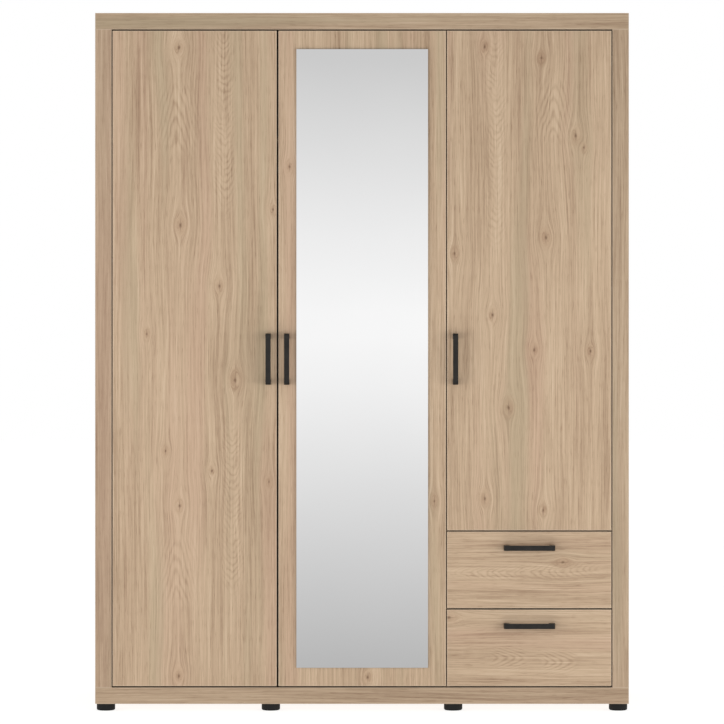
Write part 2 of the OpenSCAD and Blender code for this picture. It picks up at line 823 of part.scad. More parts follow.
module door_screws(row) {
  color(nickel) place() {
    at_hinges(row) for (s = [-1, 1])
      translate([cup_screw_x, door_t + cup_lip, s * cup_screw_z])
        to_back() screw(cup_screw);
    children();
  }
}

module left_door_panel() {
  door_board(left_door, front_z0, hinge_rows[0]) left_handle_place() handle_screw_holes();
}
module left_door_handle() { color(black_metal) place() left_handle_place() bar_handle(); }
module left_door_hinge_cups() { color(nickel) place() at_hinges(hinge_rows[0]) hinge_cup(); }
module left_door_screws() { door_screws(hinge_rows[0]) left_handle_place() handle_screws(); }

module centre_door_panel() {
  door_board(centre_door, front_z0, hinge_rows[1]) centre_handle_place() handle_screw_holes();
}
module centre_door_handle() { color(black_metal) place() centre_handle_place() bar_handle(); }
module centre_door_hinge_cups() { color(nickel) place() at_hinges(hinge_rows[1]) hinge_cup(); }
module centre_door_screws() { door_screws(hinge_rows[1]) centre_handle_place() handle_screws(); }

module right_door_panel() {
  door_board(right_door, right_door_z, hinge_rows[2]) right_handle_place() handle_screw_holes();
}
module right_door_handle() { color(black_metal) place() right_handle_place() bar_handle(); }
module right_door_hinge_cups() { color(nickel) place() at_hinges(hinge_rows[2]) hinge_cup(); }
module right_door_screws() { door_screws(hinge_rows[2]) right_handle_place() handle_screws(); }

module centre_door_mirror() {
  color(silver_glass) place()
    block([mirror_x[0], -tape_t - mirror_t, mirror_z[0]], [mirror_x[1], -tape_t, mirror_z[1]]);
}

module mirror_tape() {
  strips = 4;
  strip_w = 19;
  inset = 15;
  step = (mirror_x[1] - mirror_x[0] - 2 * inset - strip_w) / (strips - 1);
  color(grey_foam) place() for (i = [0:strips - 1]) {
    x = mirror_x[0] + inset + i * step;
    block([x, -tape_t, mirror_z[0] + inset], [x + strip_w, 0, mirror_z[1] - inset]);
  }
}

// ---- Drawers ----

module drawer_handle_place(lower) {
  translate([(right_door[0] + right_door[1]) / 2, 0,
    front_z(lower) + drawer_front_h - drawer_handle_drop]) children();
}

// Cam joints between the front and the two sides, cams in the outer faces
module at_drawer_cams(lower) {
  for (z = drawer_cam_zs) {
    translate([drawer_x0 + drawer_side_t / 2, door_t, side_z(lower) + z])
      rotate([-90, 0, 0]) rotate([0, 0, 90]) children();
    translate([drawer_x1 - drawer_side_t / 2, door_t, side_z(lower) + z])
      rotate([-90, 0, 0]) rotate([0, 0, -90]) children();
  }
}

module drawer_cam_holes(lower) { at_drawer_cams(lower) cam_holes(drawer_side_t / 2, drawer_cam_d); }

// Screws through the sides into the ends of the back
module at_drawer_back_screws(lower) {
  for (z = [45, drawer_side_h - 25])
    translate([0, drawer_y1 - drawer_side_t / 2, side_z(lower) + z]) {
      translate([drawer_x0, 0, 0]) to_left() children();
      translate([drawer_x1, 0, 0]) to_right() children();
    }
}

// Screws up through the runner's foot into the lower edge of the side
module at_drawer_runner_screws(lower) {
  for (y = drawer_screw_ys, x = [drawer_x0 + drawer_side_t / 2, drawer_x1 - drawer_side_t / 2])
    translate([x, y, side_z(lower) - sheet_t]) to_down() children();
}

module drawer_groove(lower) {
  z = side_z(lower) + groove_lift;
  block([drawer_x0 + drawer_side_t - groove_d, door_t - groove_d, z],
    [drawer_x1 - drawer_side_t + groove_d, drawer_y1 + 1, z + drawer_bottom_t + slot_fit]);
}

module drawer_front(lower) {
  color(oak) place() difference() {
    block([right_door[0], 0, front_z(lower)], [right_door[1], door_t, front_z(lower) + drawer_front_h]);
    drawer_groove(lower);
    drawer_cam_holes(lower);
    drawer_handle_place(lower) handle_screw_holes();
  }
}

module drawer_side(lower, x) {
  color(drawer_board) place() difference() {
    block([x, door_t, side_z(lower)], [x + drawer_side_t, drawer_y1, side_z(lower) + drawer_side_h]);
    drawer_groove(lower);
    drawer_cam_holes(lower);
    at_drawer_back_screws(lower) screw_hole(drawer_side_t + 1, wood_screw_r);
    at_drawer_back_screws(lower) translate([0, 0, -side_screw[3]])
      cylinder(r = side_screw[2] + hole_fit, h = side_screw[3] + 1, $fn = 24);
    at_drawer_runner_screws(lower) screw_hole(member_screw[0] + 1, back_screw_r);
  }
}

module drawer_back(lower) {
  z = side_z(lower) + groove_lift + drawer_bottom_t + slot_fit;
  color(drawer_board) place() difference() {
    block([drawer_x0 + drawer_side_t, drawer_y1 - drawer_side_t, z],
      [drawer_x1 - drawer_side_t, drawer_y1, side_z(lower) + drawer_side_h]);
    at_drawer_back_screws(lower) screw_hole(side_screw[0] + side_screw[3] + 1, wood_screw_r);
  }
}

module drawer_bottom(lower) {
  z = side_z(lower) + groove_lift + slot_fit / 2;
  reach = groove_d - slot_fit;
  color(drawer_board) place()
    block([drawer_x0 + drawer_side_t - reach, door_t - reach, z],
      [drawer_x1 - drawer_side_t + reach, drawer_y1, z + drawer_bottom_t]);
}

module drawer_handle(lower) {
  color(black_metal) place() drawer_handle_place(lower) bar_handle();
}

module drawer_fasteners(lower) {
  color(nickel) place() {
    at_drawer_cams(lower) cam_fastener(drawer_side_t / 2, drawer_cam_d);
    at_drawer_back_screws(lower) translate([0, 0, -side_screw[3]]) screw(side_screw);
    at_drawer_runner_screws(lower) screw(member_screw);
    drawer_handle_place(lower) handle_screws();
  }
}

// ---- Runners ----

// C-shaped member on the cabinet with the axle of its front roller
module cabinet_runner() {
  y1 = runner_y + runner_len;
  difference() {
    union() {
      block([0, runner_y, 0], [sheet_t, y1, member_h]);
      block([0, runner_y, 0], [member_flange, y1, sheet_t]);
      block([0, top_flange_y, member_h - sheet_t], [member_flange, y1, member_h]);
      translate([sheet_t - eps, front_roller_y, front_roller_z]) to_right() {
        cylinder(r = axle_r, h = roller_u + roller_w - sheet_t + 0.5);
        translate([0, 0, roller_u + roller_w - sheet_t + 0.1]) cylinder(r = 3, h = 0.8);
      }
    }
    for (y = runner_screw_ys)
      translate([sheet_t, y, member_h / 2]) to_right() screw_hole(sheet_hole, wood_screw_r);
  }
}

// Member on the drawer: foot under the side, web and top flange, and the rear axle
module drawer_runner() {
  u0 = runner_room - sheet_t;
  z0 = side_over_member - sheet_t;
  z1 = side_over_member + drawer_flange_z + sheet_t;
  difference() {
    union() {
      block([u0, door_t, z0], [runner_room, drawer_y1, z1]);
      block([u0, door_t, z0], [runner_room + drawer_side_t, drawer_y1, side_over_member]);
      block([3, door_t, z1 - sheet_t], [runner_room, drawer_y1, z1]);
      translate([u0 + eps, rear_roller_y, rear_roller_z]) to_left() {
        cylinder(r = axle_r, h = u0 - roller_u + 0.4);
        translate([0, 0, u0 - roller_u + 0.1]) cylinder(r = 3, h = 0.3);
      }
    }
    for (y = drawer_screw_ys)
      translate([runner_room + drawer_side_t / 2, y, z0]) to_down() screw_hole(sheet_hole, back_screw_r);
  }
}

module drawer_runners(lower) {
  color(white_steel) place() translate([0, 0, member_z(lower)]) at_runner_faces() drawer_runner();
}

module cabinet_runners() {
  color(white_steel) place() for (lower = [true, false])
    translate([0, 0, member_z(lower)]) at_runner_faces() cabinet_runner();
}

module roller() {
  to_right() difference() {
    cylinder(r = roller_r, h = roller_w, $fn = 96);
    translate([0, 0, -1]) cylinder(r = axle_r + run_fit, h = roller_w + 2);
    for (z = [-1, roller_w - 0.8]) translate([0, 0, z]) difference() {
      cylinder(r = roller_r - 2.5, h = 1.8);
      translate([0, 0, -1]) cylinder(r = axle_r + 2, h = 4);
    }
  }
}

module front_rollers(lower) {
  color(nylon) place() at_runner_faces()
    translate([roller_u, front_roller_y, member_z(lower) + front_roller_z]) roller();
}

module rear_rollers(lower) {
  color(nylon) place() at_runner_faces()
    translate([roller_u, rear_roller_y, member_z(lower) + rear_roller_z]) roller();
}

module upper_drawer_front() { drawer_front(false); }
module upper_drawer_left_side() { drawer_side(false, drawer_x0); }
module upper_drawer_right_side() { drawer_side(false, drawer_x1 - drawer_side_t); }
module upper_drawer_back() { drawer_back(false); }
module upper_drawer_bottom() { drawer_bottom(false); }
module upper_drawer_handle() { drawer_handle(false); }
module upper_drawer_runners() { drawer_runners(false); }
module upper_drawer_fasteners() { drawer_fasteners(false); }
module upper_front_rollers() { front_rollers(false); }
module upper_rear_rollers() { rear_rollers(false); }

module lower_drawer_front() { drawer_front(true); }
module lower_drawer_left_side() { drawer_side(true, drawer_x0); }
module lower_drawer_right_side() { drawer_side(true, drawer_x1 - drawer_side_t); }
module lower_drawer_back() { drawer_back(true); }
module lower_drawer_bottom() { drawer_bottom(true); }
module lower_drawer_handle() { drawer_handle(true); }
module lower_drawer_runners() { drawer_runners(true); }
module lower_drawer_fasteners() { drawer_fasteners(true); }
module lower_front_rollers() { front_rollers(true); }
module lower_rear_rollers() { rear_rollers(true); }

left_side_panel();
right_side_panel();
top_panel();
bottom_panel();
divider_panel();
drawer_top_shelf();
hat_shelf();
upper_shelf();
middle_shelf();
lower_shelf();
back_panel_left();
back_panel_middle();
back_panel_right();
back_joint_strip();
hanging_rail();
rail_sockets();
shelf_pins();
feet();
cam_fasteners();
hinge_plates();
hinge_arms();
hinge_pins();
hinge_screws();
carcass_screws();
cabinet_runners();
wall_brackets();
left_door_panel();
left_door_handle();
left_door_hinge_cups();
left_door_screws();
centre_door_panel();
centre_door_mirror();
mirror_tape();
centre_door_handle();
centre_door_hinge_cups();
centre_door_screws();
right_door_panel();
right_door_handle();
right_door_hinge_cups();
right_door_screws();
upper_drawer_front();
upper_drawer_left_side();
upper_drawer_right_side();
upper_drawer_back();
upper_drawer_bottom();
upper_drawer_handle();
upper_drawer_runners();
upper_drawer_fasteners();
lower_drawer_front();
lower_drawer_left_side();
lower_drawer_right_side();
lower_drawer_back();
lower_drawer_bottom();
lower_drawer_handle();
lower_drawer_runners();
lower_drawer_fasteners();
upper_front_rollers();
upper_rear_rollers();
lower_front_rollers();
lower_rear_rollers();
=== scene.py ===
# Wardrobe with three hinged doors and two drawers: the looks, lights and camera.
import json
import math

import bmesh
import bpy
from mathutils import Matrix, Vector

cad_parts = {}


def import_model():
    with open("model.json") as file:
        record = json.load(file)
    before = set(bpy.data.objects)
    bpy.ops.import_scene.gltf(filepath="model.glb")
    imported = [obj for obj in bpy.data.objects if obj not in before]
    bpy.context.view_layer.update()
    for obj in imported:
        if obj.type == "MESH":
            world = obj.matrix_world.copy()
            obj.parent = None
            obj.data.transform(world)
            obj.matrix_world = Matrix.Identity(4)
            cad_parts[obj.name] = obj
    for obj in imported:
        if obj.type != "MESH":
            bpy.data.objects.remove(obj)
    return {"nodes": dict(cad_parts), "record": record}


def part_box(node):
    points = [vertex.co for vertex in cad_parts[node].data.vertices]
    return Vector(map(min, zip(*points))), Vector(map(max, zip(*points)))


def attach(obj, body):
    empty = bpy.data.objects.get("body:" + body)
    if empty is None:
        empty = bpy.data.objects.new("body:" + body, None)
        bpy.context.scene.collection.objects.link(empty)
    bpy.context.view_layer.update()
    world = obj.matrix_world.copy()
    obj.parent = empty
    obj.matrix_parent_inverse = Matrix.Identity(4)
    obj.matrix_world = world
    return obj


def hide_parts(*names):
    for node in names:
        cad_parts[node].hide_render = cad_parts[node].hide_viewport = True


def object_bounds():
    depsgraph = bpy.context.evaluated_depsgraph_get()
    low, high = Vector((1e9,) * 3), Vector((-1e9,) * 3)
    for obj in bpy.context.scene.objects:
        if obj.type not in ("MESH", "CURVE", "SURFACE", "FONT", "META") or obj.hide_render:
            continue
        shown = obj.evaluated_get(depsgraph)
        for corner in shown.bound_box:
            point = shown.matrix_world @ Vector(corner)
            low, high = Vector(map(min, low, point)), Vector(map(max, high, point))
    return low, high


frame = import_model()
cad_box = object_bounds()

MM = 0.001


# ---- Node helpers ----

def srgb(red, green, blue):
    """A colour given as 0 to 255 on screen, as the linear RGBA that sockets take."""
    parts = [c / 255 for c in (red, green, blue)]
    linear = [c / 12.92 if c <= 0.04045 else ((c + 0.055) / 1.055) ** 2.4 for c in parts]
    return (*linear, 1.0)


class Field:
    """A number that varies over a surface. Arithmetic on it adds Math nodes to its tree."""

    def __init__(self, tree, socket):
        self.tree = tree
        self.socket = socket

    def __add__(self, other):
        return math_node(self.tree, "ADD", self, other)

    def __sub__(self, other):
        return math_node(self.tree, "SUBTRACT", self, other)

    def __rsub__(self, other):
        return math_node(self.tree, "SUBTRACT", other, self)

    def __mul__(self, other):
        return math_node(self.tree, "MULTIPLY", self, other)

    def __truediv__(self, other):
        return math_node(self.tree, "DIVIDE", self, other)

    def __abs__(self):
        return math_node(self.tree, "ABSOLUTE", self)

    __radd__ = __add__
    __rmul__ = __mul__


def plug(tree, value, socket):
    if isinstance(value, Field):
        tree.links.new(value.socket, socket)
    else:
        socket.default_value = value


def math_node(tree, operation, *values):
    node = tree.nodes.new("ShaderNodeMath")
    node.operation = operation
    for value, socket in zip(values, node.inputs):
        plug(tree, value, socket)
    return Field(tree, node.outputs[0])


def largest(a, b):
    return math_node(a.tree, "MAXIMUM", a, b)


def smallest(a, b):
    return math_node(a.tree, "MINIMUM", a, b)


def root(a):
    return math_node(a.tree, "SQRT", a)


def above(a, limit):
    """1 where a is over the limit, else 0."""
    return math_node(a.tree, "GREATER_THAN", a, limit)


def wave(a):
    """A soft wave from 0 to 1 with one crest per unit of a."""
    return math_node(a.tree, "SINE", a * (2 * math.pi)) * 0.5 + 0.5


def fade(a, start, end):
    """Smooth change from 0 where a is start to 1 where a is end."""
    node = a.tree.nodes.new("ShaderNodeMapRange")
    node.interpolation_type = "SMOOTHSTEP"
    low, high = (start, end) if start < end else (end, start)
    plug(a.tree, a, node.inputs["Value"])
    node.inputs["From Min"].default_value = low
    node.inputs["From Max"].default_value = high
    node.inputs["To Min"].default_value = 0.0 if start < end else 1.0
    node.inputs["To Max"].default_value = 1.0 if start < end else 0.0
    return Field(a.tree, node.outputs["Result"])


def within(a, low, high, soft):
    """1 between low and high, with soft ends."""
    return fade(a, low - soft, low + soft) * fade(a, high + soft, high - soft)


def pick(which, if_zero, if_one):
    return if_zero + which * (if_one - if_zero)


def noise(tree, x, y, z, detail=2.0, roughness=0.5):
    join = tree.nodes.new("ShaderNodeCombineXYZ")
    for value, socket in zip((x, y, z), join.inputs):
        plug(tree, value, socket)
    node = tree.nodes.new("ShaderNodeTexNoise")
    node.inputs["Scale"].default_value = 1.0
    node.inputs["Detail"].default_value = detail
    node.inputs["Roughness"].default_value = roughness
    tree.links.new(join.outputs[0], node.inputs["Vector"])
    return Field(tree, node.outputs["Fac"])


def ramp(value, stops):
    """Colour by value: stops are (place, colour)."""
    node = value.tree.nodes.new("ShaderNodeValToRGB")
    elements = node.color_ramp.elements
    while len(elements) < len(stops):
        elements.new(0.5)
    for element, (place, colour) in zip(elements, stops):
        element.position = place
        element.color = colour
    value.tree.links.new(value.socket, node.inputs["Fac"])
    return node.outputs["Color"]


def blend_colour(tree, amount, first, second, mode="MIX"):
    node = tree.nodes.new("ShaderNodeMix")
    node.data_type = "RGBA"
    node.blend_type = mode
    node.clamp_factor = True
    for value, socket in ((amount, node.inputs[0]), (first, node.inputs[6]), (second, node.inputs[7])):
        if isinstance(value, Field):
            tree.links.new(value.socket, socket)
        elif isinstance(value, bpy.types.NodeSocket):
            tree.links.new(value, socket)
        else:
            socket.default_value = value
    return node.outputs[2]


def place_fields(tree):
    """X, Y and Z of the point in the row frame, and whether its face looks along X, Y or Z."""
    coordinate = tree.nodes.new("ShaderNodeTexCoord")
    fields = []
    for output in ("Object", "Normal"):
        split = tree.nodes.new("ShaderNodeSeparateXYZ")
        tree.links.new(coordinate.outputs[output], split.inputs[0])
        fields.append([Field(tree, socket) for socket in split.outputs])
    point, normal = fields
    facing = [above(abs(part), 0.7) for part in normal]
    return point, facing


def new_material(name, **settings):
    """A material with a Principled shader whose plain sockets are set by name."""
    material = bpy.data.materials.new(name)
    material.use_nodes = True
    tree = material.node_tree
    shader = tree.nodes["Principled BSDF"]
    for key, value in settings.items():
        shader.inputs[key.replace("_", " ")].default_value = value
    return material, tree, shader


def set_bump(tree, shader, height, distance, strength=1.0):
    node = tree.nodes.new("ShaderNodeBump")
    node.inputs["Distance"].default_value = distance
    node.inputs["Strength"].default_value = strength
    tree.links.new(height.socket, node.inputs["Height"])
    tree.links.new(node.outputs[0], shader.inputs["Normal"])


# ---- Wood print of the boards ----
# Frequencies are per metre across and along the grain. Seeds shift each board's noise.

GRAIN = [(0.0, srgb(144, 117, 91)), (0.34, srgb(178, 151, 124)), (0.5, srgb(191, 165, 137)),
         (0.66, srgb(201, 175, 146)), (1.0, srgb(217, 194, 166))]
PINK = srgb(198, 160, 138)
SAGE = srgb(178, 164, 134)
KNOT = srgb(104, 76, 54)
HALO = srgb(168, 134, 106)
# painted highlight: the paler line where the rounded edge of a face catches light
PAINTED_EDGE_HIGHLIGHT = srgb(212, 191, 166)
# painted shade: the dark of the seams, put on the edges of the doors and drawer fronts
PAINTED_SEAM_SHADE = srgb(108, 76, 52)
BROAD, MIDDLE, FINE = 0.66, 0.62, 1.5      # strengths of the grain's three sizes of streak
FIGURE = 0.23                              # strength of the arches and cups
PORES = 0.22
FRONTS = ("left_door_panel", "centre_door_panel", "right_door_panel",
          "upper_drawer_front", "lower_drawer_front")


def across_and_along(point, facing, grain):
    """Grain runs up (Z) or sideways (X) on the broad faces, and lengthwise on every edge."""
    x, y, z = point
    on_x, _, on_z = facing
    if grain == "Z":
        return pick(largest(on_x, on_z), x, y), pick(on_z, z, x)
    return pick(on_z, z, y), pick(on_x, x, y)


def joined(figure, calm, rings, inside):
    """Adds one figure's rings, and where they show, to those so far."""
    if figure is None:
        return rings, inside
    return pick(above(inside, 0.001), figure, rings), largest(calm, inside)


def wood(name, node, grain, seed, knots=(), arches=(), cups=(), streaks=(), shade=1.0):
    """Hickory print. Knots are (across, along, radius), arches (across, apex, half width, length),
    cups (across, from, to, half width, pitch) and streaks (across, from, to, width), all in
    metres from the panel's lower left corner."""
    low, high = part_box(node)
    material, tree, shader = new_material(name, Roughness=0.55, Specular_IOR_Level=0.35)
    point, facing = place_fields(tree)
    u0, v0 = (low[0], low[2]) if grain == "Z" else (low[2], low[0])
    u, v = across_and_along(point, facing, grain)
    u = u - u0
    v = v - v0
    u = u + (noise(tree, u * 5, v * 1.1, seed, 1.0) - 0.5) * 0.022

    # The grain flows round each knot, which is ragged and has a thin crack along the grain
    ragged = 0.35 + noise(tree, u * 170, v * 110, seed + 8.8, 3.0) * 1.3
    flow = u
    dark = None
    halo = None
    for across, along, radius in knots:
        du = u - across
        dv = (v - along) * 0.55
        even = root(du * du + dv * dv)
        distance = even * ragged
        reach = 2.0 * radius
        flow = flow - du * reach ** 2 / (even * even + 0.6 * reach ** 2)
        spot = fade(distance, 0.55 * radius, 0.05 * radius)
        crack = fade(abs(du + (ragged - 1.0) * (1.2 * MM)), 1.1 * MM, 0.3 * MM)
        crack = crack * fade(abs(dv), 1.5 * radius, 0.2 * radius)
        ring = fade(distance, 2.6 * radius, 0.3 * radius)
        spot = largest(spot, crack * 0.7)
        dark = spot if dark is None else largest(dark, spot)
        halo = ring if halo is None else largest(halo, ring)

    # Cathedral figure: the flow is bent into nested arches and cups of fine lines
    figure = None
    calm = None
    for across, apex, half, length in arches:
        du = (u - across) / half
        turn = (noise(tree, u * 40, v * 11, seed + 2.2, 3.0) - 0.5) * 1.9
        rings = (apex - v) * (3.4 / length) - root(du * du + 0.12) * 4.4 + turn
        inside = fade(abs(du), 1.6, 0.4) * within(v, apex - length, apex + 0.1 * length, 0.2 * length)
        figure, calm = joined(figure, calm, rings, inside)
    for across, start, end, half, pitch in cups:
        wander = (noise(tree, 0.0, v * 3.5, seed + 13.1, 1.0) - 0.5) * 0.03
        du = (u - across - wander) / half
        turn = (noise(tree, u * 34, v * 15, seed + 4.4, 3.0, 0.6) - 0.5) * 3.0
        rings = v / pitch - root(du * du + 0.16) * 2.4 + turn
        patch = 0.35 + 0.65 * fade(noise(tree, u * 40, v * 12, seed + 6.6, 2.0), 0.36, 0.6)
        inside = fade(abs(du), 1.5, 0.3) * within(v, start, end, 0.06) * patch
        figure, calm = joined(figure, calm, rings, inside)

    broad = noise(tree, flow * 17, v * 0.8, seed + 3.1, 2.0) - 0.5
    middle = noise(tree, flow * 150, v * 2.8, seed + 7.7, 3.0) - 0.5
    fine = noise(tree, flow * 350, v * 5, seed + 1.3, 4.0, 0.75) - 0.5
    pores = fade(noise(tree, flow * 700, v * 26, seed + 5.9, 1.0), 0.60, 0.70)
    value = 0.53 + broad * BROAD + fine * FINE
    if figure is None:
        value = value + middle * MIDDLE
    else:
        lines = wave(figure)
        value = value + middle * MIDDLE * (1.0 - calm * 0.4) - (lines * lines - 0.38) * calm * FIGURE
    for across, start, end, width in streaks:
        inside = fade(abs(flow - across), width, 0.2 * width) * within(v, start, end, 0.04)
        value = value - inside * (0.16 + fine * 0.5)

    colour = ramp(value - pores * PORES, GRAIN)
    warm = fade(noise(tree, flow * 13, v * 0.6, seed + 9.4, 1.0), 0.50, 0.72) * 0.28
    cool = fade(noise(tree, flow * 15, v * 0.7, seed + 12.6, 1.0), 0.52, 0.74) * 0.38
    colour = blend_colour(tree, warm, colour, PINK)
    colour = blend_colour(tree, cool, colour, SAGE)
    if knots:
        colour = blend_colour(tree, halo * 0.35, colour, HALO)
        grit = 0.55 + 0.45 * noise(tree, u * 300, v * 120, seed, 2.0)
        colour = blend_colour(tree, dark * grit, colour, KNOT)

    # Painted highlight: a paler line round the face, where the rounded edge catches light. Painted
    # shade: darker edges on the doors and drawer fronts, for the dark seams between them
    centre = [(a + b) / 2 for a, b in zip(low, high)]
    half_size = [(b - a) / 2 for a, b in zip(low, high)]
    to_edge_x = half_size[0] - abs(point[0] - centre[0])
    to_edge_z = half_size[2] - abs(point[2] - centre[2])
    # painted highlight along the face's edges, where the rounding catches light
    painted_highlight = fade(smallest(to_edge_x, to_edge_z), 1.9 * MM, 1.3 * MM) * facing[1] * 0.5
    colour = blend_colour(tree, painted_highlight, colour, PAINTED_EDGE_HIGHLIGHT)
    # painted shade on the fronts' edges, standing in for the dark seams between them
    if node in FRONTS:
        colour = blend_colour(tree, 1.0 - facing[1], colour, PAINTED_SEAM_SHADE)
    if shade != 1.0:
        colour = blend_colour(tree, 1.0, colour, (shade, shade, shade, 1.0), "MULTIPLY")
    tree.links.new(colour, shader.inputs["Base Color"])
    plug(tree, 0.52 + pores * 0.12 + fine * 0.2, shader.inputs["Roughness"])
    set_bump(tree, shader, fine * 0.6 + middle * 0.3 - pores * 0.7, 0.10 * MM)
    return material


# ---- Other materials ----

def back_board():
    """Thin fibreboard with a pale printed face and a brown edge."""
    material, tree, shader = new_material("back_board", Roughness=0.7)
    (x, y, z), facing = place_fields(tree)
    cloud = noise(tree, x * 9, y * 9, z * 9, 3.0)
    fibre = noise(tree, x * 700, y * 700, z * 700, 2.0, 0.7)
    face = ramp(cloud * 0.2 + fibre * 0.8, [(0.3, srgb(212, 208, 200)), (0.7, srgb(228, 225, 218))])
    edge = ramp(fibre, [(0.3, srgb(120, 92, 66)), (0.7, srgb(158, 126, 94))])
    tree.links.new(blend_colour(tree, facing[1], edge, face), shader.inputs["Base Color"])
    set_bump(tree, shader, fibre, 0.1 * MM)
    return material


def drawer_board():
    """Light grey melamine with a woven linen print."""
    material, tree, shader = new_material("drawer_board", Roughness=0.6)
    (x, y, z), facing = place_fields(tree)
    across = pick(facing[0], x, y)
    up = pick(facing[2], z, y)
    warp = noise(tree, across * 1400, up * 90, 1.0, 2.0)
    weft = noise(tree, across * 90, up * 1400, 2.0, 2.0)
    cloth = warp * 0.5 + weft * 0.5
    colour = ramp(cloth, [(0.3, srgb(206, 203, 196)), (0.7, srgb(232, 230, 224))])
    tree.links.new(colour, shader.inputs["Base Color"])
    set_bump(tree, shader, cloth, 0.1 * MM)
    return material


def mirror_glass():
    """Silvered face with a paler, slightly green polished edge."""
    material, tree, shader = new_material("mirror", Metallic=1.0, Roughness=0.015)
    (x, y, z), facing = place_fields(tree)
    haze = noise(tree, x * 3, y * 3, z * 3, 2.0)
    face = ramp(haze, [(0.3, (0.965, 0.965, 0.968, 1)), (0.7, (0.985, 0.985, 0.985, 1))])
    edge = ramp(haze, [(0.3, srgb(238, 246, 243)), (0.7, srgb(246, 252, 250))])
    tree.links.new(blend_colour(tree, facing[1], edge, face), shader.inputs["Base Color"])
    return material


def satin_black():
    """Black anodised bar, finely brushed along its length."""
    material, tree, shader = new_material("black_metal", Metallic=0.2, Roughness=0.42)
    (x, y, z), _ = place_fields(tree)
    brush = noise(tree, x * 2600, y * 2600, z * 260, 2.0)
    worn = noise(tree, x * 60, y * 60, z * 60, 3.0)
    colour = ramp(worn, [(0.3, srgb(30, 28, 25)), (0.7, srgb(42, 39, 35))])
    tree.links.new(colour, shader.inputs["Base Color"])
    plug(tree, 0.36 + brush * 0.16, shader.inputs["Roughness"])
    set_bump(tree, shader, brush, 0.02 * MM)
    return material


def moulded(name, dark, light, roughness, grit):
    """Moulded plastic or rubber with a fine spark-eroded grain."""
    material, tree, shader = new_material(name, Roughness=roughness)
    (x, y, z), _ = place_fields(tree)
    grain = noise(tree, x * grit, y * grit, z * grit, 2.0, 0.6)
    cloud = noise(tree, x * 25, y * 25, z * 25, 2.0)
    colour = ramp(cloud * 0.6 + grain * 0.4, [(0.3, dark), (0.7, light)])
    tree.links.new(colour, shader.inputs["Base Color"])
    plug(tree, roughness - 0.06 + grain * 0.12, shader.inputs["Roughness"])
    set_bump(tree, shader, grain, 0.08 * MM)
    return material


def nickel():
    """Pressed, nickel-plated steel."""
    material, tree, shader = new_material("nickel", Metallic=1.0, Roughness=0.28)
    (x, y, z), _ = place_fields(tree)
    cloud = noise(tree, x * 80, y * 80, z * 80, 3.0)
    scratch = noise(tree, x * 900, y * 120, z * 900, 2.0)
    colour = ramp(cloud, [(0.3, srgb(198, 197, 194)), (0.7, srgb(224, 222, 218))])
    tree.links.new(colour, shader.inputs["Base Color"])
    plug(tree, 0.2 + cloud * 0.1 + scratch * 0.12, shader.inputs["Roughness"])
    set_bump(tree, shader, scratch, 0.01 * MM)
    return material


def powder_coat():
    """White powder coating with a slight orange peel."""
    material, tree, shader = new_material("white_steel", Roughness=0.4)
    (x, y, z), _ = place_fields(tree)
    peel = noise(tree, x * 450, y * 450, z * 450, 1.0)
    cloud = noise(tree, x * 15, y * 15, z * 15, 2.0)
    colour = ramp(cloud, [(0.3, srgb(224, 224, 220)), (0.7, srgb(234, 234, 231))])
    tree.links.new(colour, shader.inputs["Base Color"])
    set_bump(tree, shader, peel, 0.05 * MM)
    return material


# ---- Features of each panel's print ----

LEFT_DOOR = dict(
    knots=[(0.190, 1.295, 0.010), (0.297, 1.125, 0.009), (0.346, 0.860, 0.011), (0.449, 1.340, 0.007),
           (0.149, 0.661, 0.006), (0.277, 0.605, 0.007), (0.440, 0.574, 0.006), (0.188, 0.507, 0.008),
           (0.186, 0.028, 0.009), (0.096, 0.990, 0.006), (0.187, 1.795, 0.010)],
    arches=[(0.180, 1.670, 0.045, 0.16), (0.180, 0.397, 0.045, 0.16)],
    cups=[(0.310, 1.34, 1.86, 0.026, 0.021), (0.335, 0.28, 0.73, 0.026, 0.021)],
    streaks=[(0.081, 1.58, 1.79, 0.005), (0.081, 0.33, 0.54, 0.005), (0.346, 0.80, 0.90, 0.004)])
RIGHT_DOOR = dict(
    knots=[(0.106, 1.359, 0.009), (0.268, 1.328, 0.007), (0.360, 1.109, 0.010), (0.384, 1.076, 0.006),
           (0.277, 0.823, 0.010), (0.018, 0.778, 0.008), (0.124, 0.605, 0.009), (0.244, 0.507, 0.008),
           (0.404, 0.503, 0.008), (0.174, 0.345, 0.010), (0.106, 0.089, 0.009), (0.269, 0.056, 0.008)],
    cups=[(0.136, 0.82, 1.38, 0.026, 0.021)],
    arches=[(0.300, 1.240, 0.040, 0.14)],
    streaks=[(0.361, 1.29, 1.38, 0.004), (0.361, 0.03, 0.10, 0.004), (0.193, 1.09, 1.23, 0.005),
             (0.174, 0.26, 0.33, 0.004)])
CENTRE_DOOR = dict(
    knots=[(0.030, 1.46, 0.007), (0.440, 0.52, 0.007), (0.250, 0.025, 0.008)],
    streaks=[(0.444, 1.10, 1.40, 0.004)])
UPPER_FRONT = dict(
    knots=[(0.130, 0.326, 0.008)],
    cups=[(0.102, 0.03, 0.42, 0.020, 0.021)],
    streaks=[(0.178, 0.10, 0.30, 0.004)])
LOWER_FRONT = dict(
    knots=[(0.193, 0.005, 0.010)],
    arches=[(0.076, 0.210, 0.030, 0.08), (0.068, 0.350, 0.030, 0.08)],
    streaks=[(0.150, 0.05, 0.22, 0.004)])
FRAME_SHADE = 0.85

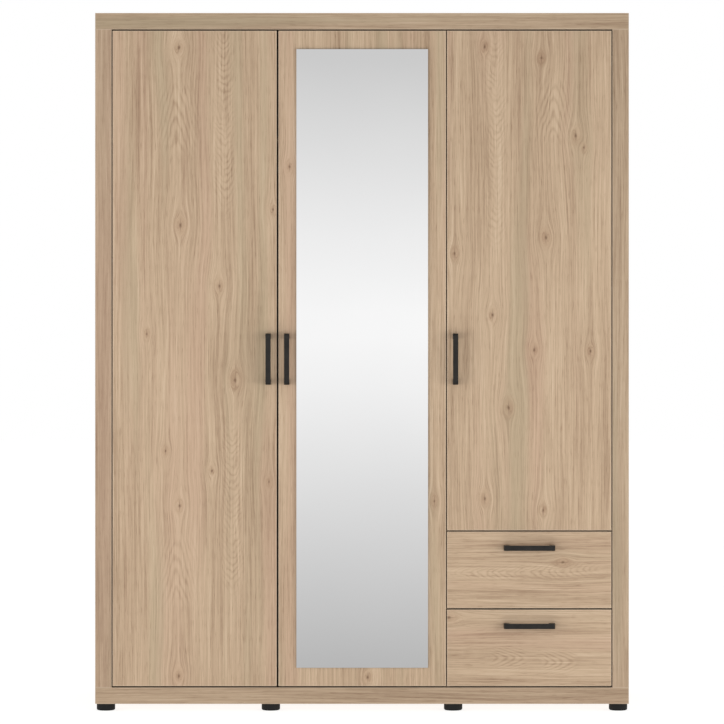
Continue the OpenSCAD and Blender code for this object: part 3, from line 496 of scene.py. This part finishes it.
boards = {
    "left_door_panel": ("Z", 2.0, LEFT_DOOR, 1.0),
    "centre_door_panel": ("Z", 11.0, CENTRE_DOOR, 1.0),
    "right_door_panel": ("Z", 23.0, RIGHT_DOOR, 1.0),
    "upper_drawer_front": ("X", 31.0, UPPER_FRONT, 1.0),
    "lower_drawer_front": ("X", 37.0, LOWER_FRONT, 0.99),
    "left_side_panel": ("Z", 41.0, {}, FRAME_SHADE),
    "right_side_panel": ("Z", 43.0, {}, FRAME_SHADE),
    "top_panel": ("X", 47.0, {}, FRAME_SHADE),
    "bottom_panel": ("X", 53.0, {}, FRAME_SHADE),
    "divider_panel": ("Z", 59.0, {}, 1.0),
    "drawer_top_shelf": ("X", 61.0, {}, 1.0),
    "hat_shelf": ("X", 67.0, {}, 1.0),
    "upper_shelf": ("X", 71.0, {}, 1.0),
    "middle_shelf": ("X", 73.0, {}, 1.0),
    "lower_shelf": ("X", 79.0, {}, 1.0),
}

slot_materials = {
    "back_board": back_board(),
    "drawer_board": drawer_board(),
    "mirror": mirror_glass(),
    "black_metal": satin_black(),
    "black_plastic": moulded("black_plastic", srgb(10, 10, 9), srgb(24, 23, 22), 0.6, 900),
    "nickel": nickel(),
    "white_steel": powder_coat(),
    "white_plastic": moulded("white_plastic", srgb(220, 220, 216), srgb(234, 234, 230), 0.45, 700),
    "nylon": moulded("nylon", srgb(226, 226, 220), srgb(242, 242, 237), 0.4, 500),
    "foam_tape": moulded("foam_tape", srgb(98, 101, 104), srgb(136, 139, 142), 0.9, 1500),
}


def dress(node, material):
    """Gives a CAD node its material."""
    for place in frame["nodes"][node].material_slots:
        place.material = material


for part in frame["record"]["subparts"]:
    if part["node"] in boards:
        grain, seed, features, shade = boards[part["node"]]
        dress(part["node"], wood(part["node"], part["node"], grain, seed, shade=shade, **features))
    else:
        dress(part["node"], slot_materials[part["material_slot"]])


# ---- Softened edges ----

def soften(node, width, segments=2):
    """Rounds a CAD node's sharp edges a little."""
    bevel = frame["nodes"][node].modifiers.new("edges", "BEVEL")
    bevel.width = width
    bevel.segments = segments
    bevel.limit_method = "ANGLE"
    bevel.angle_limit = math.radians(50)
    bevel.use_clamp_overlap = True


for board in boards:
    soften(board, 0.8 * MM)
soften("centre_door_mirror", 1.5 * MM)


# ---- Handles ----

def corner(centre, radius, start, steps=6):
    """Points of a quarter circle that begins at the angle start, in degrees."""
    angles = [math.radians(start + 90 * i / steps) for i in range(steps + 1)]
    return [(centre[0] + radius * math.cos(a), centre[1] + radius * math.sin(a)) for a in angles]


def handle_outline(length, out):
    """Side view of a bridge handle: along the bar, and out from the door."""
    leg, bar, outer, inner = 16 * MM, 8 * MM, 8 * MM, 4 * MM
    end = length / 2
    inside = end - leg
    points = [(end, 0)]
    points += corner((end - outer, out - outer), outer, 0)
    points += corner((outer - end, out - outer), outer, 90)
    points += [(-end, 0), (-inside, 0)]
    points += reversed(corner((inner - inside, out - bar - inner), inner, 90))
    points += reversed(corner((inside - inner, out - bar - inner), inner, 0))
    points += [(inside, 0)]
    return points


def bar_handle(name, node, body):
    """A bridge handle with softened edges, in place of the plain CAD one."""
    low, high = (Vector(c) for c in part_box(node))
    size = high - low
    upright = size.z > size.x
    length = max(size.z, size.x)
    width = min(size.z, size.x)
    mesh = bmesh.new()
    rings = []
    for side in (-0.5, 0.5):
        rings.append([mesh.verts.new((side * width, -out, along))
                      for along, out in handle_outline(length, size.y)])
    mesh.faces.new(rings[0])
    mesh.faces.new(reversed(rings[1]))
    count = len(rings[0])
    for i in range(count):
        j = (i + 1) % count
        mesh.faces.new((rings[0][j], rings[0][i], rings[1][i], rings[1][j]))
    bmesh.ops.recalc_face_normals(mesh, faces=mesh.faces)
    turn = Matrix.Identity(4) if upright else Matrix.Rotation(math.pi / 2, 4, "Y")
    middle = Vector(((low.x + high.x) / 2, high.y, (low.z + high.z) / 2))
    bmesh.ops.transform(mesh, matrix=Matrix.Translation(middle) @ turn, verts=mesh.verts)
    data = bpy.data.meshes.new(name)
    mesh.to_mesh(data)
    mesh.free()
    handle = bpy.data.objects.new(name, data)
    bpy.context.scene.collection.objects.link(handle)
    bevel = handle.modifiers.new("edges", "BEVEL")
    bevel.width = 0.7 * MM
    bevel.segments = 3
    bevel.limit_method = "ANGLE"
    bevel.angle_limit = math.radians(40)
    data.materials.append(slot_materials["black_metal"])
    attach(handle, body)
    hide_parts(node)


for owner in ("left_door", "centre_door", "right_door", "upper_drawer", "lower_drawer"):
    bar_handle(owner + "_pull", owner + "_handle", owner)


# ---- Floor, light and camera ----

CAMERA_DISTANCE = 9.0

def floor():
    half = 30.0
    mesh = bmesh.new()
    corners = [(-half, -half), (half, -half), (half, half), (-half, half)]
    mesh.faces.new([mesh.verts.new((x, y, 0.0)) for x, y in corners])
    data = bpy.data.meshes.new("studio_floor")
    mesh.to_mesh(data)
    mesh.free()
    ground = bpy.data.objects.new("studio_floor", data)
    bpy.context.scene.collection.objects.link(ground)
    material, _, shader = new_material("studio_floor", Roughness=0.9, Emission_Strength=0.82)
    shader.inputs["Base Color"].default_value = (0.4, 0.4, 0.4, 1)
    shader.inputs["Emission Color"].default_value = (1, 1, 1, 1)
    data.materials.append(material)
    ground.visible_glossy = False


def world():
    """White all round. What glossy surfaces mirror fades by height, as in a studio."""
    rise = 0.5 / CAMERA_DISTANCE        # of the mirrored direction, per metre up the mirror
    sky = bpy.data.worlds.new("studio")
    bpy.context.scene.world = sky
    sky.use_nodes = True
    tree = sky.node_tree
    background = tree.nodes["Background"]
    direction = tree.nodes.new("ShaderNodeTexCoord")
    split = tree.nodes.new("ShaderNodeSeparateXYZ")
    tree.links.new(direction.outputs["Generated"], split.inputs[0])
    height = Field(tree, split.outputs[2]) * 0.5 + 0.5
    mirrored = ramp(height, [
        (0.0, srgb(150, 150, 150)), (0.5 - 0.86 * rise, srgb(184, 184, 184)),
        (0.5 - 0.38 * rise, srgb(222, 222, 222)), (0.5 - 0.08 * rise, srgb(243, 243, 243)),
        (0.5 + 0.10 * rise, srgb(250, 250, 250)), (0.5 + 0.38 * rise, srgb(238, 238, 238)),
        (0.5 + 0.87 * rise, srgb(203, 203, 203)), (1.0, srgb(170, 170, 170))])
    path = tree.nodes.new("ShaderNodeLightPath")
    glossy = Field(tree, path.outputs["Is Glossy Ray"])
    seen = Field(tree, path.outputs["Is Camera Ray"])
    fill = (0.42, 0.42, 0.42, 1.0)
    colour = blend_colour(tree, seen, fill, (1.0, 1.0, 1.0, 1.0))
    colour = blend_colour(tree, glossy, colour, mirrored)
    tree.links.new(colour, background.inputs["Color"])


def area_light(name, place, target, width, height, power):
    data = bpy.data.lights.new(name, "AREA")
    data.shape = "RECTANGLE"
    data.size = width
    data.size_y = height
    data.energy = power
    lamp = bpy.data.objects.new(name, data)
    lamp.location = place
    lamp.rotation_euler = (Vector(target) - Vector(place)).to_track_quat("-Z", "Y").to_euler()
    lamp.visible_camera = False
    lamp.visible_glossy = False
    bpy.context.scene.collection.objects.link(lamp)


def camera():
    """Level, in front of the middle, and far off with a long lens."""
    distance = CAMERA_DISTANCE
    seen_width = 2.035
    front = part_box("left_door_panel")[0][1]
    low, high = cad_box
    data = bpy.data.cameras.new("camera")
    data.sensor_width = 36.0
    data.lens = data.sensor_width * distance / seen_width
    shooter = bpy.data.objects.new("camera", data)
    shooter.location = ((low[0] + high[0]) / 2, front - distance, (low[2] + high[2]) / 2)
    shooter.rotation_euler = (math.pi / 2, 0, 0)
    bpy.context.scene.collection.objects.link(shooter)
    bpy.context.scene.camera = shooter


floor()
world()
for side in (-1, 1):
    area_light("side_softbox", (side * 2.7, -2.1, 0.72), (0, 0, 0.72), 1.6, 1.2, 27)
area_light("top_softbox", (0, -1.2, 3.8), (0, 0.2, 1.0), 3.0, 2.0, 2)
camera()
bpy.context.scene.view_settings.view_transform = "Standard"
